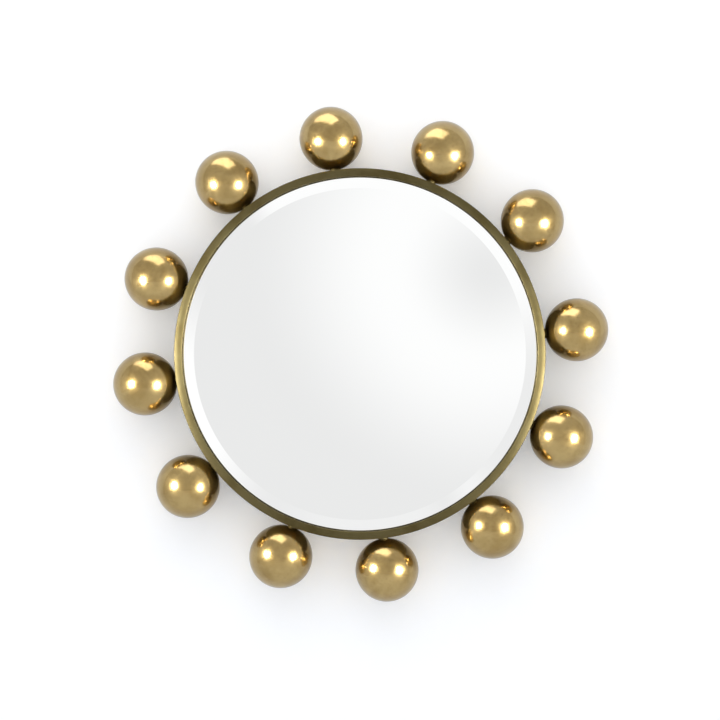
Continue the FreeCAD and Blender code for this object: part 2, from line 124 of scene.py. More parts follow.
class MirrorSizes(bpy.types.PropertyGroup):
    """The sizes of the mirror's pieces."""
    ring_radius: length("Ring Radius", "From the centre to the outside of the tube", RING_HIGH[0])
    tube_face: length("Tube Face", "Width of the tube, seen from the front", 0.0127)
    tube_crown: length("Face Crown", "How far the middle of the tube's face stands proud", 0.0006)
    tube_rounding: length("Tube Rounding", "Radius of the tube's edges", 0.0016)
    ball_radius: length("Ball Radius", "Radius of each ball", 0.051)
    ball_mouth: length("Ball Mouth", "Radius of the hole round a ball's insert", 0.00805)
    ball_standoff: length("Ball Standoff", "From the tube to the nearest point of a ball", 0.0035)
    access_hole: length("Access Hole", "Radius of the holes that the balls' screws are driven through", 0.0052)
    bevel_width: length("Bevel Width", "Width of the glass's bevel", 0.018)
    bevel_drop: length("Bevel Drop", "How much thinner the glass is at its edge", 0.0022)
    board_chamfer: length("Board Chamfer", "Chamfer round the backing board", 0.001)
    tab_count: IntProperty(name="Tabs", description="Number of fixing tabs", default=8, min=3)
    tab_phase: turn("First Tab", "Where the first tab stands, up from the right-hand side", 22.5)
    tab_width: length("Tab Width", "Width of a fixing tab", 0.026)
    tab_reach: length("Tab Reach", "How far a tab stands out from the tube", 0.024)
    tab_corner: length("Tab Corner", "Radius of a tab's free corners", 0.006)
    tab_screw_radius: length("Tab Screw Circle", "Radius of the circle of tab screws", 0.2688)
    plinth_band: length("Plinth Band", "Width of the ring-shaped plinth", 0.068)
    plinth_rounding: length("Plinth Rounding", "Rounding of the plinth's edges on the wall side", 0.003)
    bumper_base: length("Bumper Base", "Radius of a bumper where it meets the plinth", 0.012)
    bumper_face: length("Bumper Face", "Radius of a bumper where it meets the wall", 0.010)
    bumper_well: length("Bumper Well", "Depth of the well round a bumper's screw", 0.0036)
    strap_gauge: length("Strap Gauge", "Thickness of the strap's steel", 0.001)
    strap_pivot: length("Strap Pivot", "From the wall to the middle of the D-ring's bar", 0.0033)
    wire_radius: length("Wire Radius", "Half the thickness of the D-ring's wire", 0.0015)
    ring_side: length("D-ring Half Width", "From the middle of the D-ring to the middle of its wire", 0.0125)
    ring_reach: length("D-ring Reach", "From the bar to the middle of the far wire", 0.0175)
    ring_corner: length("D-ring Corner", "Bend radius at the ends of the bar", 0.0035)


class MirrorColours(bpy.types.PropertyGroup):
    """The colours of the mirror's finishes."""
    ball_brass: colour("Ball Brass", "Clean brass of the balls", (0.57, 0.405, 0.155))
    ball_patina: colour("Ball Patina", "Aged brass of the balls", (0.41, 0.27, 0.083))
    ring_brass: colour("Ring Brass", "Brushed face of the ring", (0.108, 0.089, 0.040))
    ring_patina: colour("Ring Patina", "Aged streaks of the ring", (0.073, 0.056, 0.021))
    mirror: colour("Silvering", "What the glass gives back", (0.965, 0.97, 0.968))
    board_paint: colour("Board Paint", "Paint of the backing board", (0.074, 0.070, 0.065))
    plinth_paint: colour("Plinth Paint", "Paint of the plinth", (0.060, 0.056, 0.051))
    steel: colour("Zinc Plate", "Plated steel of screws and hangers", (0.62, 0.63, 0.64))
    rubber: colour("Rubber", "Moulded bumpers", (0.018, 0.018, 0.019))
    foam: colour("Foam", "Double-sided tape", (0.78, 0.78, 0.75))


class StageSettings(bpy.types.PropertyGroup):
    """The room and the camera."""
    wall: colour("Wall", "Colour of the wall and the floor", (0.846, 0.867, 0.900))
    in_brass: FloatProperty(name="Wall In Brass", default=0.85, min=0.0, max=1.0,
                            description="How bright the wall and the floor look in the brass")
    camera_distance: length("Camera Distance", "From the wall to the camera", 2.454)
    camera_side: FloatProperty(name="Camera Side", default=0.086, unit="LENGTH",
                               description="To the right of the middle of the ring")
    camera_height: FloatProperty(name="Camera Height", default=-0.0103, unit="LENGTH",
                                 description="Above the middle of the ring")
    shift: FloatVectorProperty(name="Lens Shift", default=(-0.0747, 0.0006), size=2,
                               description="Shift of the lens, as a share of the frame")
    lens: FloatProperty(name="Lens", description="Focal length on a 36 mm frame", default=74.3, min=10.0,
                        unit="CAMERA")


# ---- modelling by hand ---------------------------------------------------------------------------
def let_go():
    """Leaves edit mode and selects nothing."""
    if bpy.context.object and bpy.context.object.mode != "OBJECT":
        bpy.ops.object.mode_set(mode="OBJECT")
    bpy.ops.object.select_all(action="DESELECT")


def take(piece):
    """Selects one piece alone and makes it the active one."""
    let_go()
    piece.select_set(True)
    bpy.context.view_layer.objects.active = piece


def opened(name, scale=(1, 1, 1)):
    """Names the primitive that was just added, fixes its size and place, and opens it for editing."""
    piece = bpy.context.object
    piece.name = piece.data.name = name
    piece.scale = scale
    bpy.ops.object.transform_apply(location=True, rotation=True, scale=True)
    bpy.ops.object.mode_set(mode="EDIT")
    return piece


def flat_start(name, low, high, across):
    """A rectangle in the x-y plane, or across the x-z plane, between two corners, opened for editing."""
    let_go()
    middle = (Vector(low) + Vector(high)) / 2
    size = Vector(high) - Vector(low)
    rotation = (QUARTER, 0, 0) if across else (0, 0, 0)
    bpy.ops.mesh.primitive_plane_add(size=1, location=middle, rotation=rotation)
    return opened(name, (size.x, size.z if across else size.y, 1))


def disc_start(name, radius, front, back, vertices):
    """A disc that faces the room, between two depths, opened for editing."""
    let_go()
    bpy.ops.mesh.primitive_cylinder_add(vertices=vertices, radius=radius, depth=back - front,
                                        location=(0, (front + back) / 2, 0), rotation=(QUARTER, 0, 0))
    return opened(name)


def pick(kind, test):
    """Selects the vertices, edges or faces of the open mesh that pass a test, and nothing else."""
    bpy.ops.mesh.select_mode(type=kind)
    bpy.ops.mesh.select_all(action="DESELECT")
    mesh = bmesh.from_edit_mesh(bpy.context.object.data)
    parts = {"VERT": mesh.verts, "EDGE": mesh.edges, "FACE": mesh.faces}[kind]
    chosen = [part for part in parts if test(part)]
    if not chosen:
        raise RuntimeError("nothing to pick on " + bpy.context.object.name)
    for part in chosen:
        part.select_set(True)
    bmesh.update_edit_mesh(bpy.context.object.data)


def reach(vertex):
    """How far a vertex is from the mirror's axis."""
    return math.hypot(vertex.co.x, vertex.co.z)


def move(x=0.0, y=0.0, z=0.0):
    """Shifts whatever is picked."""
    bpy.ops.transform.translate(value=(x, y, z))


def bow(x, y, z, size):
    """Pushes the picked vertices out, with a parabola to either side."""
    bpy.ops.transform.translate(value=(x, y, z), use_proportional_edit=True,
                                proportional_edit_falloff="INVERSE_SQUARE", proportional_size=size)


def round_corners(test, radius, segments):
    """Rounds the corners of an outline at the vertices that pass a test."""
    pick("VERT", test)
    bpy.ops.mesh.bevel(offset=radius, segments=segments, profile=0.5, affect="VERTICES", clamp_overlap=False)


def break_edges(width, segments=2, sharper_than=40):
    """Takes a fine bevel off every edge that is sharper than an angle."""
    bpy.ops.mesh.select_mode(type="EDGE")
    bpy.ops.mesh.select_all(action="DESELECT")
    bpy.ops.mesh.edges_select_sharp(sharpness=math.radians(sharper_than))
    bpy.ops.mesh.bevel(offset=width, segments=segments, affect="EDGES")


def turned(steps):
    """Spins the outline of the open rectangle round the mirror's axis."""
    bpy.ops.mesh.select_all(action="SELECT")
    bpy.ops.mesh.delete(type="ONLY_FACE")
    bpy.ops.mesh.select_all(action="SELECT")
    bpy.ops.mesh.spin(steps=steps, angle=2 * math.pi, center=(0, 0, 0), axis=(0, 1, 0))


def closed(piece, smooth=30.0):
    """Merges doubles, turns the faces outwards, leaves edit mode and shades the piece."""
    bpy.ops.mesh.select_all(action="SELECT")
    bpy.ops.mesh.remove_doubles(threshold=0.000002)
    bpy.ops.mesh.normals_make_consistent(inside=False)
    bpy.ops.object.mode_set(mode="OBJECT")
    bpy.ops.object.shade_smooth_by_angle(angle=math.radians(smooth))
    return piece


def another(piece, name, angle=0.0, shift=(0, 0, 0)):
    """A copy with its own mesh, carried round the ring and then shifted."""
    take(piece)
    bpy.ops.object.duplicate(linked=False)
    copy = bpy.context.object
    copy.name = copy.data.name = name
    copy.rotation_euler = (0, -angle, 0)
    copy.location = shift
    bpy.ops.object.transform_apply(location=True, rotation=True, scale=True)
    return copy


def joined(pieces, name):
    """Joins pieces into one object and names it."""
    let_go()
    for piece in pieces:
        piece.select_set(True)
    bpy.context.view_layer.objects.active = pieces[0]
    if len(pieces) > 1:
        bpy.ops.object.join()
    piece = bpy.context.object
    piece.name = piece.data.name = name
    return piece


def discard(piece):
    """Deletes a pattern piece once its copies are made."""
    take(piece)
    bpy.ops.object.delete()


def polar(radius, degrees):
    """The x and z of a point round the mirror's axis."""
    return radius * math.cos(math.radians(degrees)), radius * math.sin(math.radians(degrees))


def evenly(count, phase):
    """Angles spaced evenly round the ring, in radians."""
    return [phase + 2 * math.pi * i / count for i in range(count)]


def cut_out(piece, cutter):
    """Takes a cutter's shape out of a piece."""
    take(piece)
    cut = piece.modifiers.new("cut", "BOOLEAN")
    cut.operation = "DIFFERENCE"
    cut.solver = "EXACT"
    cut.object = cutter
    bpy.ops.object.modifier_apply(modifier=cut.name)
    discard(cutter)
    take(piece)
    bpy.ops.object.shade_smooth_by_angle(angle=math.radians(30))


def ball_angles():
    """Where the balls stand round the ring, in radians, from the middles of their CAD boxes."""
    angles = []
    for node in BALLS:
        low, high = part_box(node)
        angles.append(math.atan2(low[2] + high[2], low[0] + high[0]))
    return angles


def fitted(piece, material, slot, body, *nodes):
    """Gives a finished piece its material and its body, and hides the CAD nodes it stands for; the slot is not
    used.
    """
    piece.data.materials.clear()
    piece.data.materials.append(material)
    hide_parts(*nodes)
    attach(piece, body)


# ---- finishes ------------------------------------------------------------------------------------
class Finish:
    """A node material for one finish, read in object coordinates."""

    def __init__(self, name, metallic, **constants):
        self.material = bpy.data.materials.new(name)
        self.material.use_nodes = True
        self.nodes = self.material.node_tree.nodes
        self.links = self.material.node_tree.links
        self.shader = self.nodes["Principled BSDF"]
        self.shader.inputs["Metallic"].default_value = metallic
        for socket, value in constants.items():
            self.shader.inputs[socket.replace("_", " ")].default_value = value
        self.place = self.nodes.new("ShaderNodeTexCoord").outputs["Object"]

    def put(self, source, socket):
        """Links an output, or writes a plain value, into a socket."""
        if hasattr(source, "is_output"):
            self.links.new(source, socket)
        else:
            socket.default_value = source

    def maths(self, operation, *values):
        node = self.nodes.new("ShaderNodeMath")
        node.operation = operation
        for value, socket in zip(values, node.inputs):
            self.put(value, socket)
        return node.outputs[0]

    def noise(self, scale, detail=3.0, roughness=0.5, distortion=0.0, place=None):
        node = self.nodes.new("ShaderNodeTexNoise")
        for socket, value in (("Scale", scale), ("Detail", detail), ("Roughness", roughness),
                              ("Distortion", distortion)):
            node.inputs[socket].default_value = value
        self.links.new(place or self.place, node.inputs["Vector"])
        return node.outputs["Fac"]

    def stretched(self, x, y, z):
        """Object coordinates, scaled along each axis."""
        node = self.nodes.new("ShaderNodeMapping")
        node.inputs["Scale"].default_value = (x, y, z)
        self.links.new(self.place, node.inputs["Vector"])
        return node.outputs["Vector"]

    def spread(self, source, low, high, to_low=0.0, to_high=1.0):
        """Maps a range of a pattern onto another range."""
        node = self.nodes.new("ShaderNodeMapRange")
        for socket, value in zip(("From Min", "From Max", "To Min", "To Max"), (low, high, to_low, to_high)):
            node.inputs[socket].default_value = value
        self.links.new(source, node.inputs["Value"])
        return node.outputs["Result"]

    def blend(self, factor, first, second):
        node = self.nodes.new("ShaderNodeMix")
        node.data_type = "RGBA"
        for value, socket in ((factor, node.inputs[0]), (first, node.inputs[6]), (second, node.inputs[7])):
            if not hasattr(value, "is_output") and socket is not node.inputs[0]:
                value = (*value, 1.0)
            self.put(value, socket)
        return node.outputs[2]

    def bump(self, height, strength, distance, below=None):
        node = self.nodes.new("ShaderNodeBump")
        node.inputs["Strength"].default_value = strength
        node.inputs["Distance"].default_value = distance
        self.links.new(height, node.inputs["Height"])
        if below:
            self.links.new(below, node.inputs["Normal"])
        return node.outputs["Normal"]

    def done(self, base=None, roughness=None, normal=None):
        for source, socket in ((base, "Base Color"), (roughness, "Roughness"), (normal, "Normal")):
            if source is not None:
                self.links.new(source, self.shader.inputs[socket])
        return self.material


def ball_brass(colours):
    """Hand-polished brass, aged to a soft patina, with faint dents and rubbed scratches."""
    finish = Finish("aged_ball_brass", 1.0, Coat_Weight=0.7, Coat_Roughness=0.1)
    cloud = finish.spread(finish.noise(26.0, 4.0, 0.6, 0.4), 0.38, 0.68)
    fleck = finish.spread(finish.noise(240.0, 3.0, 0.65), 0.56, 0.70)
    base = finish.blend(cloud, colours.ball_brass, colours.ball_patina)
    base = finish.blend(finish.maths("MULTIPLY", fleck, 0.3), base, (0.24, 0.14, 0.05))
    rubbed = finish.noise(70.0, 5.0, 0.6, 0.8)
    roughness = finish.spread(rubbed, 0.3, 0.75, 0.16, 0.27)
    dents = finish.bump(finish.noise(34.0, 2.0, 0.5), 0.12, 0.0012)
    scratches = finish.noise(1.0, 2.0, 0.6, 0.2, finish.stretched(900.0, 240.0, 420.0))
    return finish.done(base, roughness, finish.bump(scratches, 0.05, 0.0002, dents))


def ring_brass(colours):
    """Brass tube, brushed round the ring and lacquered."""
    finish = Finish("brushed_ring_brass", 1.0, Anisotropic=0.6, Anisotropic_Rotation=0.25)
    tangent = finish.nodes.new("ShaderNodeTangent")
    tangent.direction_type = "RADIAL"
    tangent.axis = "Y"
    finish.links.new(tangent.outputs["Tangent"], finish.shader.inputs["Tangent"])
    split = finish.nodes.new("ShaderNodeSeparateXYZ")
    finish.links.new(finish.place, split.inputs[0])
    x, y, z = split.outputs
    squares = [finish.maths("MULTIPLY", part, part) for part in (x, z)]
    radius = finish.maths("SQRT", finish.maths("ADD", *squares))
    brushed = finish.nodes.new("ShaderNodeTexNoise")
    brushed.noise_dimensions = "4D"
    join = finish.nodes.new("ShaderNodeCombineXYZ")
    for source, socket in ((finish.maths("MULTIPLY", finish.maths("DIVIDE", x, radius), 9.0), join.inputs[0]),
                           (finish.maths("MULTIPLY", y, 2200.0), join.inputs[1]),
                           (finish.maths("MULTIPLY", finish.maths("DIVIDE", z, radius), 9.0), join.inputs[2])):
        finish.links.new(source, socket)
    finish.links.new(join.outputs[0], brushed.inputs["Vector"])
    finish.links.new(finish.maths("MULTIPLY", radius, 2200.0), brushed.inputs["W"])
    brushed.inputs["Scale"].default_value = 1.0
    brushed.inputs["Detail"].default_value = 3.0
    streak = brushed.outputs["Fac"]
    patina = finish.spread(finish.noise(18.0, 4.0, 0.6, 0.3), 0.4, 0.7)
    base = finish.blend(patina, colours.ring_brass, colours.ring_patina)
    base = finish.blend(finish.spread(streak, 0.35, 0.65, 0.0, 0.35), base, colours.ring_patina)
    roughness = finish.spread(streak, 0.3, 0.7, 0.45, 0.55)
    return finish.done(base, roughness, finish.bump(streak, 0.10, 0.0001))


def silvered_glass(colours):
    """Clear mirror glass, silvered at the back."""
    finish = Finish("silvered_glass", 1.0, Roughness=0.0)
    tint = finish.spread(finish.noise(3.0, 2.0), 0.3, 0.7, 0.0, 0.02)
    return finish.done(finish.blend(tint, colours.mirror, (0.93, 0.95, 0.94)))


def painted_board(colours):
    """Fibreboard under matt black paint."""
    finish = Finish("painted_fibreboard", 0.0)
    roller = finish.noise(420.0, 3.0, 0.6)
    cloud = finish.spread(finish.noise(9.0, 4.0), 0.35, 0.7)
    base = finish.blend(cloud, colours.board_paint, (0.095, 0.090, 0.084))
    return finish.done(base, finish.spread(roller, 0.3, 0.7, 0.52, 0.72), finish.bump(roller, 0.25, 0.0004))


def painted_plywood(colours):
    """Plywood under matt black paint, with its plies telegraphing at the sides and grain on its face."""
    finish = Finish("painted_plywood", 0.0)
    grain = finish.noise(1.0, 4.0, 0.6, 0.5, finish.stretched(420.0, 60.0, 26.0))
    plies = finish.noise(1.0, 1.0, 0.5, 0.0, finish.stretched(6.0, 520.0, 6.0))
    base = finish.blend(finish.spread(grain, 0.3, 0.75), colours.plinth_paint, (0.082, 0.076, 0.068))
    normal = finish.bump(plies, 0.2, 0.0005, finish.bump(grain, 0.3, 0.0004))
    return finish.done(base, finish.spread(grain, 0.3, 0.7, 0.46, 0.66), normal)


def zinc_plate(colours):
    """Bright zinc plating on small steel fittings."""
    finish = Finish("zinc_plated_steel", 1.0)
    spangle = finish.noise(700.0, 3.0, 0.6)
    base = finish.blend(finish.spread(spangle, 0.35, 0.7), colours.steel, (0.50, 0.50, 0.49))
    return finish.done(base, finish.spread(spangle, 0.3, 0.7, 0.22, 0.40), finish.bump(spangle, 0.15, 0.0001))


def lacquered_tab(colours):
    """Steel tabs lacquered with the ring they are welded into."""
    finish = Finish("lacquered_tab_steel", 1.0)
    mottle = finish.noise(160.0, 4.0, 0.6)
    base = finish.blend(finish.spread(mottle, 0.35, 0.7), colours.ring_brass, colours.ring_patina)
    return finish.done(base, finish.spread(mottle, 0.3, 0.7, 0.32, 0.5), finish.bump(mottle, 0.2, 0.0002))


def moulded_rubber(colours):
    """Moulded rubber, with a fine matt grain."""
    finish = Finish("moulded_rubber", 0.0)
    grain = finish.noise(1600.0, 2.0, 0.6)
    base = finish.blend(finish.spread(grain, 0.3, 0.7), colours.rubber, (0.035, 0.035, 0.036))
    return finish.done(base, finish.spread(grain, 0.3, 0.7, 0.6, 0.8), finish.bump(grain, 0.2, 0.0002))


def foam_tape(colours):
    """Closed-cell foam, pitted where it was cut."""
    finish = Finish("foam_tape", 0.0, Roughness=0.85)
    cells = finish.noise(1200.0, 2.0, 0.7)
    base = finish.blend(finish.spread(cells, 0.3, 0.7), colours.foam, (0.62, 0.62, 0.59))
    return finish.done(base, None, finish.bump(cells, 0.3, 0.0003))


def turned_brass_painted_shade(colours):
    """Turned brass for the inserts inside the balls, whose necks show, coloured dark as painted shade where the
    balls meet the ring.
    """
    finish = Finish("turned_brass_painted_shade", 1.0)
    ridges = finish.noise(900.0, 2.0, 0.5)
    # the ring's dark colours here are painted shade at the necks, where the balls meet the ring
    base = finish.blend(finish.spread(ridges, 0.35, 0.7), colours.ring_brass, colours.ring_patina)
    return finish.done(base, finish.spread(ridges, 0.3, 0.7, 0.5, 0.7), finish.bump(ridges, 0.1, 0.0001))


FINISHES = {}


def shared(make, context):
    """The finish that a function makes, made once."""
    if make not in FINISHES:
        FINISHES[make] = make(context.scene.mirror_colours)
    return FINISHES[make]


# ---- the pieces ----------------------------------------------------------------------------------
class MIRROR_OT_ring(bpy.types.Operator):
    """Roll the rectangular brass tube into the ring"""
    bl_idname = "mirror.ring"
    bl_label = "Ring"

    def access_hole(self, sizes, inner, angle):
        """The space a ball's screw is driven through, from inside the bore to the washer's seat."""
        washer = max(abs(corner[0]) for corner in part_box("ball_washers"))
        near, far = inner - 0.001, washer + 0.0015
        middle = (near + far) / 2
        let_go()
        bpy.ops.mesh.primitive_cylinder_add(
            vertices=32, radius=sizes.access_hole, depth=far - near, rotation=(0, QUARTER - angle, 0),
            location=(middle * math.cos(angle), (RING_LOW[1] + RING_HIGH[1]) / 2, middle * math.sin(angle)))
        return bpy.context.object

    def execute(self, context):
        sizes = context.scene.mirror_sizes
        inner = sizes.ring_radius - sizes.tube_face
        shoulder = RING_LOW[1] + sizes.tube_crown
        piece = flat_start("rolled_ring", (inner, shoulder, 0), (sizes.ring_radius, RING_HIGH[1], 0), False)
        round_corners(lambda v: True, sizes.tube_rounding, 5)
        flat = sizes.tube_face - 2 * sizes.tube_rounding
        pick("EDGE", lambda e: e.calc_length() > 0.9 * flat and max(v.co.y for v in e.verts) < shoulder + HAIR)
        bpy.ops.mesh.subdivide(number_cuts=11)
        middle = inner + sizes.tube_face / 2
        pick("VERT", lambda v: abs(v.co.x - middle) < HAIR and v.co.y < shoulder + HAIR)
        bow(0, -sizes.tube_crown, 0, flat / 2)
        turned(360)
        closed(piece)
        holes = joined([self.access_hole(sizes, inner, angle) for angle in ball_angles()], "access_holes")
        cut_out(piece, holes)
        fitted(piece, shared(ring_brass, context), "ring_brass", "mirror", "ring_tube")
        return {"FINISHED"}


class MIRROR_OT_balls(bpy.types.Operator):
    """Set the hollow brass balls round the ring"""
    bl_idname = "mirror.balls"
    bl_label = "Balls"

    def execute(self, context):
        sizes = context.scene.mirror_sizes
        centre = sizes.ring_radius + sizes.ball_standoff + sizes.ball_radius
        depth = (RING_LOW[1] + RING_HIGH[1]) / 2
        mouth = centre - math.sqrt(sizes.ball_radius ** 2 - sizes.ball_mouth ** 2)
        let_go()
        bpy.ops.mesh.primitive_uv_sphere_add(segments=96, ring_count=64, radius=sizes.ball_radius,
                                             location=(centre, depth, 0), rotation=(0, QUARTER, 0))
        first = opened("ball")
        bpy.ops.mesh.select_all(action="SELECT")
        bpy.ops.mesh.bisect(plane_co=(mouth, depth, 0), plane_no=(1, 0, 0), clear_inner=True, use_fill=True)
        pick("FACE", lambda f: f.normal.x < -0.999 and len(f.verts) > 90)
        mouth = min(v.co.x for v in bmesh.from_edit_mesh(first.data).verts)
        bpy.ops.mesh.extrude_region_move(TRANSFORM_OT_translate={"value": (MOUTH_DEPTH, 0, 0)})
        pick("EDGE", lambda e: all(v.co.x < mouth + HAIR for v in e.verts))
        bpy.ops.mesh.bevel(offset=0.00015, segments=2, affect="EDGES")
        closed(first, 35.0)
        for node, angle in zip(BALLS, ball_angles()):
            piece = another(first, "brass_" + node, angle)
            fitted(piece, shared(ball_brass, context), "ball_brass", "mirror", node)
        discard(first)
        return {"FINISHED"}


class MIRROR_OT_glass(bpy.types.Operator):
    """Cut the round glass and grind its bevel"""
    bl_idname = "mirror.glass"
    bl_label = "Bevelled Glass"

    def execute(self, context):
        sizes = context.scene.mirror_sizes
        radius, front, back = GLASS_HIGH[0], GLASS_LOW[1], GLASS_HIGH[1]
        piece = disc_start("bevelled_glass", radius, front, back, 360)
        pick("FACE", lambda f: f.normal.y < -0.99)
        bpy.ops.mesh.inset(thickness=sizes.bevel_width)
        pick("VERT", lambda v: v.co.y < front + NEAR and reach(v) > radius - 0.001)
        move(y=sizes.bevel_drop)
        pick("EDGE", lambda e: all(reach(v) > radius - 0.001 for v in e.verts)
             and abs(e.verts[0].co.y - e.verts[1].co.y) < NEAR)
        bpy.ops.mesh.bevel(offset=0.0003, segments=2, affect="EDGES")
        closed(piece, 3.0)
        fitted(piece, shared(silvered_glass, context), "silvered_glass", "mirror", "mirror_glass")
        return {"FINISHED"}


class MIRROR_OT_board(bpy.types.Operator):
    """Cut and chamfer the backing board"""
    bl_idname = "mirror.board"
    bl_label = "Backing Board"

    def execute(self, context):
        sizes = context.scene.mirror_sizes
        piece = disc_start("painted_board", BOARD_HIGH[2], BOARD_LOW[1], BOARD_HIGH[1], 256)
        pick("EDGE", lambda e: abs(e.verts[0].co.y - e.verts[1].co.y) < NEAR)
        bpy.ops.mesh.bevel(offset=sizes.board_chamfer, segments=1, affect="EDGES")
        closed(piece)
        fitted(piece, shared(painted_board, context), "board_black", "mirror", "backing_board")
        return {"FINISHED"}


class MIRROR_OT_plinth(bpy.types.Operator):
    """Turn the ring-shaped plinth behind the board"""
    bl_idname = "mirror.plinth"
    bl_label = "Plinth"

    def execute(self, context):
        sizes = context.scene.mirror_sizes
        outer, front, back = PLINTH_HIGH[2], PLINTH_LOW[1], PLINTH_HIGH[1]
        piece = flat_start("turned_plinth", (outer - sizes.plinth_band, front, 0), (outer, back, 0), False)
        round_corners(lambda v: v.co.y > (front + back) / 2, sizes.plinth_rounding, 6)
        turned(256)
        closed(piece)
        fitted(piece, shared(painted_plywood, context), "plinth_wood", "mirror", "spacer_plinth")
        return {"FINISHED"}


def pan_screw(name, node, diameter):
    """A pan-head screw on the axis, its head towards the wall, from the depths of its CAD node."""
    low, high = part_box(node)
    tip, top = low[1], high[1]
    seat = top - HEAD_HEIGHT * diameter
    let_go()
    bpy.ops.mesh.primitive_cylinder_add(vertices=48, radius=diameter, depth=top - seat,
                                        location=(0, (top + seat) / 2, 0), rotation=(QUARTER, 0, 0))
    piece = opened(name)
    pick("FACE", lambda f: f.normal.y < -0.99)
    bpy.ops.mesh.inset(thickness=diameter / 2)
    bpy.ops.mesh.extrude_region_move(TRANSFORM_OT_translate={"value": (0, tip + diameter - seat, 0)})
    bpy.ops.mesh.extrude_region_move(TRANSFORM_OT_translate={"value": (0, -diameter, 0)})
    bpy.ops.transform.resize(value=(0.05, 1, 0.05), center_override=(0, tip, 0))
    pick("EDGE", lambda e: all(v.co.y > top - HAIR and reach(v) > 0.99 * diameter for v in e.verts))
    bpy.ops.mesh.bevel(offset=HEAD_ROUNDING * diameter, segments=6, affect="EDGES")
    closed(piece)
    drive_depth, over = DRIVE_DEPTH * diameter, 0.001
    for wide, high_bar in ((DRIVE_LENGTH, DRIVE_WIDTH), (DRIVE_WIDTH, DRIVE_LENGTH)):
        let_go()
        bpy.ops.mesh.primitive_cube_add(size=1, location=(0, top + over - drive_depth / 2, 0))
        bar = opened(name + "_bar", (wide * diameter, drive_depth + 2 * over, high_bar * diameter))
        bpy.ops.object.mode_set(mode="OBJECT")
        cut_out(piece, bar)
    return piece


class MIRROR_OT_tabs(bpy.types.Operator):
    """Fold in the fixing tabs and drive their screws"""
    bl_idname = "mirror.tabs"
    bl_label = "Fixing Tabs"

    def execute(self, context):
        sizes = context.scene.mirror_sizes
        inner = sizes.ring_radius - sizes.tube_face - sizes.tab_reach
        back, front = TABS_HIGH[1], TABS_LOW[1]
        bore = sizes.ring_radius - sizes.tube_face - WELD_GAP
        half = sizes.tab_width / 2
        shoulder = math.sqrt(bore ** 2 - half ** 2)
        first = flat_start("tab", (inner, back, -half), (shoulder, back, half), True)
        round_corners(lambda v: v.co.x < inner + NEAR, sizes.tab_corner, 8)
        pick("EDGE", lambda e: all(v.co.x > shoulder - NEAR for v in e.verts))
        bpy.ops.mesh.subdivide(number_cuts=9)
        pick("VERT", lambda v: v.co.x > shoulder - NEAR and abs(v.co.z) < NEAR)
        bow(bore - shoulder, 0, 0, half)
        bpy.ops.mesh.select_all(action="SELECT")
        bpy.ops.mesh.extrude_region_move(TRANSFORM_OT_translate={"value": (0, front - back, 0)})
        break_edges(0.0003)
        closed(first)
        angles = evenly(sizes.tab_count, sizes.tab_phase)
        tabs = joined([another(first, "tab", angle) for angle in angles], "steel_tabs")
        discard(first)
        fitted(tabs, shared(lacquered_tab, context), "tab_steel", "mirror", "fixing_tabs")
        screw = pan_screw("screw", "tab_screws", TAB_SCREW)
        places = [polar(sizes.tab_screw_radius, math.degrees(angle)) for angle in angles]
        screws = joined([another(screw, "screw", 0, (x, 0, z)) for x, z in places], "tab_pan_screws")
        discard(screw)
        fitted(screws, shared(zinc_plate, context), "plated_steel", "mirror", "tab_screws")
        return {"FINISHED"}


def bumper_places(sizes):
    """Where the bumpers stand on the plinth's band."""
    radius = PLINTH_HIGH[2] - sizes.plinth_band / 2
    return [polar(radius, angle) for angle in BUMPER_ANGLES]


class MIRROR_OT_bumpers(bpy.types.Operator):
    """Screw the rubber bumpers to the plinth"""
    bl_idname = "mirror.bumpers"
    bl_label = "Wall Bumpers"

    def execute(self, context):
        sizes = context.scene.mirror_sizes
        let_go()
        bpy.ops.mesh.primitive_cone_add(vertices=64, radius1=sizes.bumper_base, radius2=sizes.bumper_face,
                                        depth=-PLINTH_HIGH[1], location=(0, PLINTH_HIGH[1] / 2, 0),
                                        rotation=(-QUARTER, 0, 0))
        first = opened("bumper")
        pick("FACE", lambda f: f.normal.y > 0.99)
        bpy.ops.mesh.inset(thickness=sizes.bumper_face - BUMPER_BORE)
        bpy.ops.mesh.extrude_region_move(TRANSFORM_OT_translate={"value": (0, -sizes.bumper_well, 0)})
        pick("EDGE", lambda e: all(v.co.y > -NEAR for v in e.verts))
        bpy.ops.mesh.bevel(offset=0.0006, segments=4, affect="EDGES")
        closed(first)
        places = bumper_places(sizes)
        bumpers = joined([another(first, "bumper", 0, (x, 0, z)) for x, z in places], "rubber_bumpers")
        discard(first)
        fitted(bumpers, shared(moulded_rubber, context), "bumper_rubber", "mirror", "wall_bumpers")
        screw = pan_screw("screw", "bumper_screws", SMALL_SCREW)
        screws = joined([another(screw, "screw", 0, (x, 0, z)) for x, z in places], "bumper_pan_screws")
        discard(screw)
        fitted(screws, shared(zinc_plate, context), "plated_steel", "mirror", "bumper_screws")
        return {"FINISHED"}


def pivot(side):
    """The x and z of the bar of one side's D-ring."""
    low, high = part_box("hanger_ring_" + side)
    return (low[0] + high[0]) / 2, low[2] + 0.0015


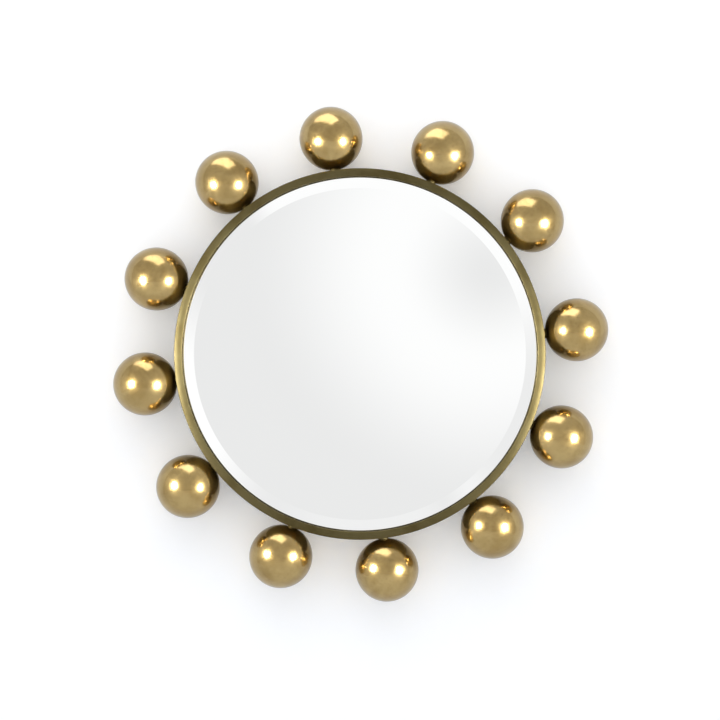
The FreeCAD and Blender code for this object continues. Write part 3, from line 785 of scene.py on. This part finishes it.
class MIRROR_OT_hangers(bpy.types.Operator):
    """Fold the straps, bend the D-rings and screw them on"""
    bl_idname = "mirror.hangers"
    bl_label = "Hangers"

    def strap(self, sizes):
        gauge, depth, half = sizes.strap_gauge, -sizes.strap_pivot, (STRAP_HIGH[0] - STRAP_LOW[0]) / 2
        x, z = pivot("right")
        bottom = STRAP_LOW[2] - z
        under = PLINTH_HIGH[1] + gauge / 2
        bend = depth - under
        piece = flat_start("strap", (-half, under, bottom), (half, under, 0), True)
        round_corners(lambda v: v.co.z < bottom + NEAR, STRAP_CORNER, 8)
        pick("EDGE", lambda e: all(v.co.z > -NEAR for v in e.verts))
        bpy.ops.mesh.spin(steps=20, angle=math.radians(225), center=(0, depth, 0), axis=(1, 0, 0))
        lap = under + 0.98 * gauge
        leave = (bend * math.sin(math.radians(45)), depth + bend * math.cos(math.radians(45)))
        fall = leave[1] - lap
        bpy.ops.mesh.extrude_region_move(TRANSFORM_OT_translate={"value": (0, -fall, -fall)})
        foot = -leave[0] - fall - bottom
        bpy.ops.mesh.extrude_region_move(TRANSFORM_OT_translate={"value": (0, 0, -foot)})
        round_corners(lambda v: v.co.z < bottom + NEAR and v.co.y > under + gauge / 2
                      and abs(v.co.x) > half - NEAR, STRAP_CORNER, 8)
        bpy.ops.object.mode_set(mode="OBJECT")
        thick = piece.modifiers.new("gauge", "SOLIDIFY")
        thick.thickness = 0.96 * gauge
        thick.offset = 0.0
        bpy.ops.object.modifier_apply(modifier=thick.name)
        bpy.ops.object.mode_set(mode="EDIT")
        break_edges(0.00015, 2, 60)
        closed(piece)
        return piece

    def d_ring(self, sizes):
        side, reach_up = sizes.ring_side, sizes.ring_reach
        piece = flat_start("d_ring", (-side, 0, 0), (side, 0, reach_up), True)
        round_corners(lambda v: v.co.z < NEAR, sizes.ring_corner, 8)
        round_corners(lambda v: v.co.z > reach_up - NEAR, side - HAIR, 20)
        bpy.ops.mesh.select_all(action="SELECT")
        bpy.ops.mesh.remove_doubles(threshold=0.00003)
        bpy.ops.mesh.delete(type="ONLY_FACE")
        bpy.ops.object.mode_set(mode="OBJECT")
        bpy.ops.object.convert(target="CURVE")
        wire = bpy.context.object
        wire.data.dimensions = "3D"
        wire.data.bevel_depth = sizes.wire_radius
        wire.data.bevel_resolution = 5
        bpy.ops.object.convert(target="MESH")
        piece = bpy.context.object
        rise = PLINTH_HIGH[1] + sizes.wire_radius + LEAN_GAP + sizes.strap_pivot
        piece.rotation_euler = (math.asin(-rise / reach_up), 0, 0)
        piece.location = (0, -sizes.strap_pivot, 0)
        bpy.ops.object.transform_apply(location=True, rotation=True, scale=True)
        bpy.ops.object.mode_set(mode="EDIT")
        closed(piece, 50.0)
        return piece

    def execute(self, context):
        sizes = context.scene.mirror_sizes
        strap, ring = self.strap(sizes), self.d_ring(sizes)
        screw = pan_screw("screw", "hanger_screws", SMALL_SCREW)
        steel = shared(zinc_plate, context)
        screws = []
        for side in ("left", "right"):
            x, z = pivot(side)
            fitted(another(strap, "folded_strap_" + side, 0, (x, 0, z)), steel, "hanger_steel", "mirror",
                   "hanger_strap_" + side)
            fitted(another(ring, "wire_d_ring_" + side, 0, (x, 0, z)), steel, "hanger_steel", side + "_d_ring",
                   "hanger_ring_" + side)
            for drop in HANGER_SCREW_DROPS:
                screws.append(another(screw, "screw", 0, (x, 0, z - drop)))
        fitted(joined(screws, "hanger_pan_screws"), steel, "plated_steel", "mirror", "hanger_screws")
        for piece in (strap, ring, screw):
            discard(piece)
        return {"FINISHED"}


class MIRROR_OT_hidden_fittings(bpy.types.Operator):
    """Finish the fittings inside the balls and behind the glass, which keep their CAD shape"""
    bl_idname = "mirror.hidden_fittings"
    bl_label = "Hidden Fittings"

    def execute(self, context):
        # the inserts are coloured dark as painted shade where the balls meet the ring
        for node, make in (("ball_inserts", turned_brass_painted_shade), ("ball_washers", zinc_plate),
                           ("ball_screws", zinc_plate), ("plinth_screws", zinc_plate),
                           ("mirror_tape", foam_tape)):
            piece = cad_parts[node]
            piece.data.materials.clear()
            piece.data.materials.append(shared(make, context))
        return {"FINISHED"}


# ---- the stage -----------------------------------------------------------------------------------
def linked(nodes, links, operation, *values):
    """The output of a new maths node, whose inputs are linked or written."""
    node = nodes.new("ShaderNodeMath")
    node.operation = operation
    for value, socket in zip(values, node.inputs):
        if hasattr(value, "is_output"):
            links.new(value, socket)
        else:
            socket.default_value = value
    return node.outputs[0]


def lamp(name, place, size, power, on_brass):
    """A rectangular area lamp that faces the mirror, and lights either the brass or the matt surfaces."""
    let_go()
    bpy.ops.object.light_add(type="AREA", location=place)
    light = bpy.context.object
    light.name = light.data.name = name
    light.rotation_euler = (Vector(LAMP_AIM) - Vector(place)).to_track_quat("-Z", "Y").to_euler()
    light.data.shape = "RECTANGLE"
    light.data.size, light.data.size_y = size
    light.data.energy = power
    light.visible_diffuse = not on_brass
    light.visible_glossy = on_brass
    return light


class MIRROR_OT_stage(bpy.types.Operator):
    """Set up the wall, the floor, the soft studio light and the camera"""
    bl_idname = "mirror.stage"
    bl_label = "Stage"

    def plaster(self, settings, name, lift, open_behind):
        """Matt plaster, lifted to white for the camera, that keeps the object's shadow."""
        material = bpy.data.materials.new(name)
        material.use_nodes = True
        nodes, links = material.node_tree.nodes, material.node_tree.links
        nodes.clear()
        output = nodes.new("ShaderNodeOutputMaterial")
        matt = nodes.new("ShaderNodeBsdfDiffuse")
        glow = nodes.new("ShaderNodeEmission")
        path = nodes.new("ShaderNodeLightPath")
        clear = nodes.new("ShaderNodeBsdfTransparent")
        clear.inputs["Color"].default_value = (1.0, 1.0, 1.0, 1.0)

        def maths(*inputs):
            return linked(nodes, links, *inputs)

        tint = nodes.new("ShaderNodeMix")
        tint.data_type = "RGBA"
        tint.inputs[6].default_value = (*settings.wall, 1.0)
        tint.inputs[7].default_value = (*(settings.in_brass * part for part in settings.wall), 1.0)
        in_brass = maths("SUBTRACT", path.outputs["Is Glossy Ray"], path.outputs["Is Singular Ray"])
        links.new(in_brass, tint.inputs[0])
        links.new(tint.outputs[2], matt.inputs["Color"])
        links.new(maths("MULTIPLY", path.outputs["Is Camera Ray"], lift), glow.inputs["Strength"])
        add = nodes.new("ShaderNodeAddShader")
        links.new(matt.outputs[0], add.inputs[0])
        links.new(glow.outputs[0], add.inputs[1])
        unseen = path.outputs["Is Singular Ray"]
        if open_behind:
            unseen = nodes.new("ShaderNodeNewGeometry").outputs["Backfacing"]
            for kind, near in (("Is Diffuse Ray", MATT_SKIPS), ("Is Glossy Ray", GLOSSY_SKIPS)):
                close = maths("LESS_THAN", path.outputs["Ray Length"], near)
                unseen = maths("MAXIMUM", unseen, maths("MULTIPLY", path.outputs[kind], close))
        behind = nodes.new("ShaderNodeMixShader")
        links.new(unseen, behind.inputs[0])
        links.new(add.outputs[0], behind.inputs[1])
        links.new(clear.outputs[0], behind.inputs[2])
        links.new(behind.outputs[0], output.inputs["Surface"])
        return material

    def surfaces(self, settings):
        """The wall that the mirror hangs on and the floor below it."""
        for name, place, rotation, lift in SURFACES:
            let_go()
            bpy.ops.mesh.primitive_plane_add(size=SURFACE_SIZE, location=place, rotation=rotation)
            surface = bpy.context.object
            surface.name = surface.data.name = name
            surface.data.materials.append(self.plaster(settings, "pale_" + name, lift, name == "wall"))

    def room(self, context):
        """The world: white to the camera, a dim studio to brushed brass, a bright wall to the glass."""
        world = bpy.data.worlds.new("studio")
        context.scene.world = world
        world.use_nodes = True
        nodes, links = world.node_tree.nodes, world.node_tree.links
        nodes.clear()
        output = nodes.new("ShaderNodeOutputWorld")
        background = nodes.new("ShaderNodeBackground")
        background.inputs["Color"].default_value = (1.0, 1.0, 1.0, 1.0)
        links.new(background.outputs[0], output.inputs["Surface"])
        path = nodes.new("ShaderNodeLightPath")
        toward = nodes.new("ShaderNodeTexCoord")
        split = nodes.new("ShaderNodeSeparateXYZ")
        links.new(toward.outputs["Generated"], split.inputs[0])

        def maths(*inputs):
            return linked(nodes, links, *inputs)

        def ramp(value, low, high, to_low, to_high):
            node = nodes.new("ShaderNodeMapRange")
            node.interpolation_type = "SMOOTHSTEP"
            links.new(value, node.inputs["Value"])
            limits = {"From Min": low, "From Max": high, "To Min": to_low, "To Max": to_high}
            for socket, number in limits.items():
                node.inputs[socket].default_value = number
            return node.outputs["Result"]

        def choose(test, no, yes):
            node = nodes.new("ShaderNodeMix")
            node.data_type = "FLOAT"
            links.new(test, node.inputs[0])
            for value, socket in ((no, node.inputs[2]), (yes, node.inputs[3])):
                if hasattr(value, "is_output"):
                    links.new(value, socket)
                else:
                    socket.default_value = value
            return node.outputs[0]

        def away(u, v):
            return maths("SQRT", maths("ADD", maths("POWER", maths("SUBTRACT", x, u), 2.0),
                                       maths("POWER", maths("SUBTRACT", z, v), 2.0)))

        x, y, z = split.outputs
        x = maths("ADD", x, 0.036)
        flat_glass = ramp(away(0.087, 0.066), 0.070, 0.165, GLASS_BRIGHT, GLASS_DIM)
        dim_spot = ramp(away(0.086, 0.060), 0.0, 0.062, GLASS_DIM - GLASS_BRIGHT, 0.0)
        flat_glass = maths("ADD", flat_glass, dim_spot)
        bevel = ramp(maths("ADD", x, maths("MULTIPLY", z, 0.7)), -0.05, 0.05, GLASS_DIM, GLASS_BRIGHT)
        for u, v, size, strength in BEVEL_SPOTS:
            bevel = maths("ADD", bevel, ramp(away(u, v), 0.3 * size, size, strength, 0.0))
        in_glass = choose(ramp(away(0.0, 0.0), 0.15, 0.21, 0.0, 1.0), flat_glass, bevel)
        studio = ramp(z, -0.9, 0.9, 0.63, 0.57)
        seen = choose(path.outputs["Is Glossy Ray"], 0.96, studio)
        seen = choose(path.outputs["Is Singular Ray"], seen, in_glass)
        seen = choose(path.outputs["Is Camera Ray"], seen, 1.0)
        links.new(seen, background.inputs["Strength"])

    def execute(self, context):
        settings = context.scene.mirror_stage
        self.surfaces(settings)
        self.room(context)
        for details in LAMPS:
            lamp(*details)
        let_go()
        place = (settings.camera_side, -settings.camera_distance, settings.camera_height)
        bpy.ops.object.camera_add(location=place, rotation=(QUARTER, 0, 0))
        camera = bpy.context.object
        camera.name = camera.data.name = "photo_camera"
        camera.data.lens = settings.lens
        camera.data.sensor_width = 36.0
        camera.data.shift_x, camera.data.shift_y = settings.shift
        context.scene.camera = camera
        context.scene.view_settings.view_transform = "Standard"
        return {"FINISHED"}


OPERATORS = (MIRROR_OT_ring, MIRROR_OT_balls, MIRROR_OT_glass, MIRROR_OT_board, MIRROR_OT_plinth,
             MIRROR_OT_tabs, MIRROR_OT_bumpers, MIRROR_OT_hangers, MIRROR_OT_hidden_fittings, MIRROR_OT_stage)


class MIRROR_PT_panel(bpy.types.Panel):
    """The mirror's pieces, sizes and colours"""
    bl_idname = "MIRROR_PT_panel"
    bl_label = "Girandole Mirror"
    bl_space_type = "VIEW_3D"
    bl_region_type = "UI"
    bl_category = "Mirror"

    def draw(self, context):
        column = self.layout.column(align=True)
        for operator in OPERATORS:
            column.operator(operator.bl_idname)
        for heading, group in (("Sizes", context.scene.mirror_sizes), ("Colours", context.scene.mirror_colours),
                               ("Stage", context.scene.mirror_stage)):
            box = self.layout.box()
            box.label(text=heading)
            for name in group.__annotations__:
                box.prop(group, name)


GROUPS = (MirrorSizes, MirrorColours, StageSettings)


def register():
    for item in GROUPS + OPERATORS + (MIRROR_PT_panel,):
        bpy.utils.register_class(item)
    bpy.types.Scene.mirror_sizes = PointerProperty(type=MirrorSizes)
    bpy.types.Scene.mirror_colours = PointerProperty(type=MirrorColours)
    bpy.types.Scene.mirror_stage = PointerProperty(type=StageSettings)


def unregister():
    del bpy.types.Scene.mirror_sizes, bpy.types.Scene.mirror_colours, bpy.types.Scene.mirror_stage
    for item in reversed(GROUPS + OPERATORS + (MIRROR_PT_panel,)):
        bpy.utils.unregister_class(item)


def main():
    register()
    bpy.ops.mirror.ring()
    bpy.ops.mirror.balls()
    bpy.ops.mirror.glass()
    bpy.ops.mirror.board()
    bpy.ops.mirror.plinth()
    bpy.ops.mirror.tabs()
    bpy.ops.mirror.bumpers()
    bpy.ops.mirror.hangers()
    bpy.ops.mirror.hidden_fittings()
    bpy.ops.mirror.stage()


if __name__ == "__main__":
    main()
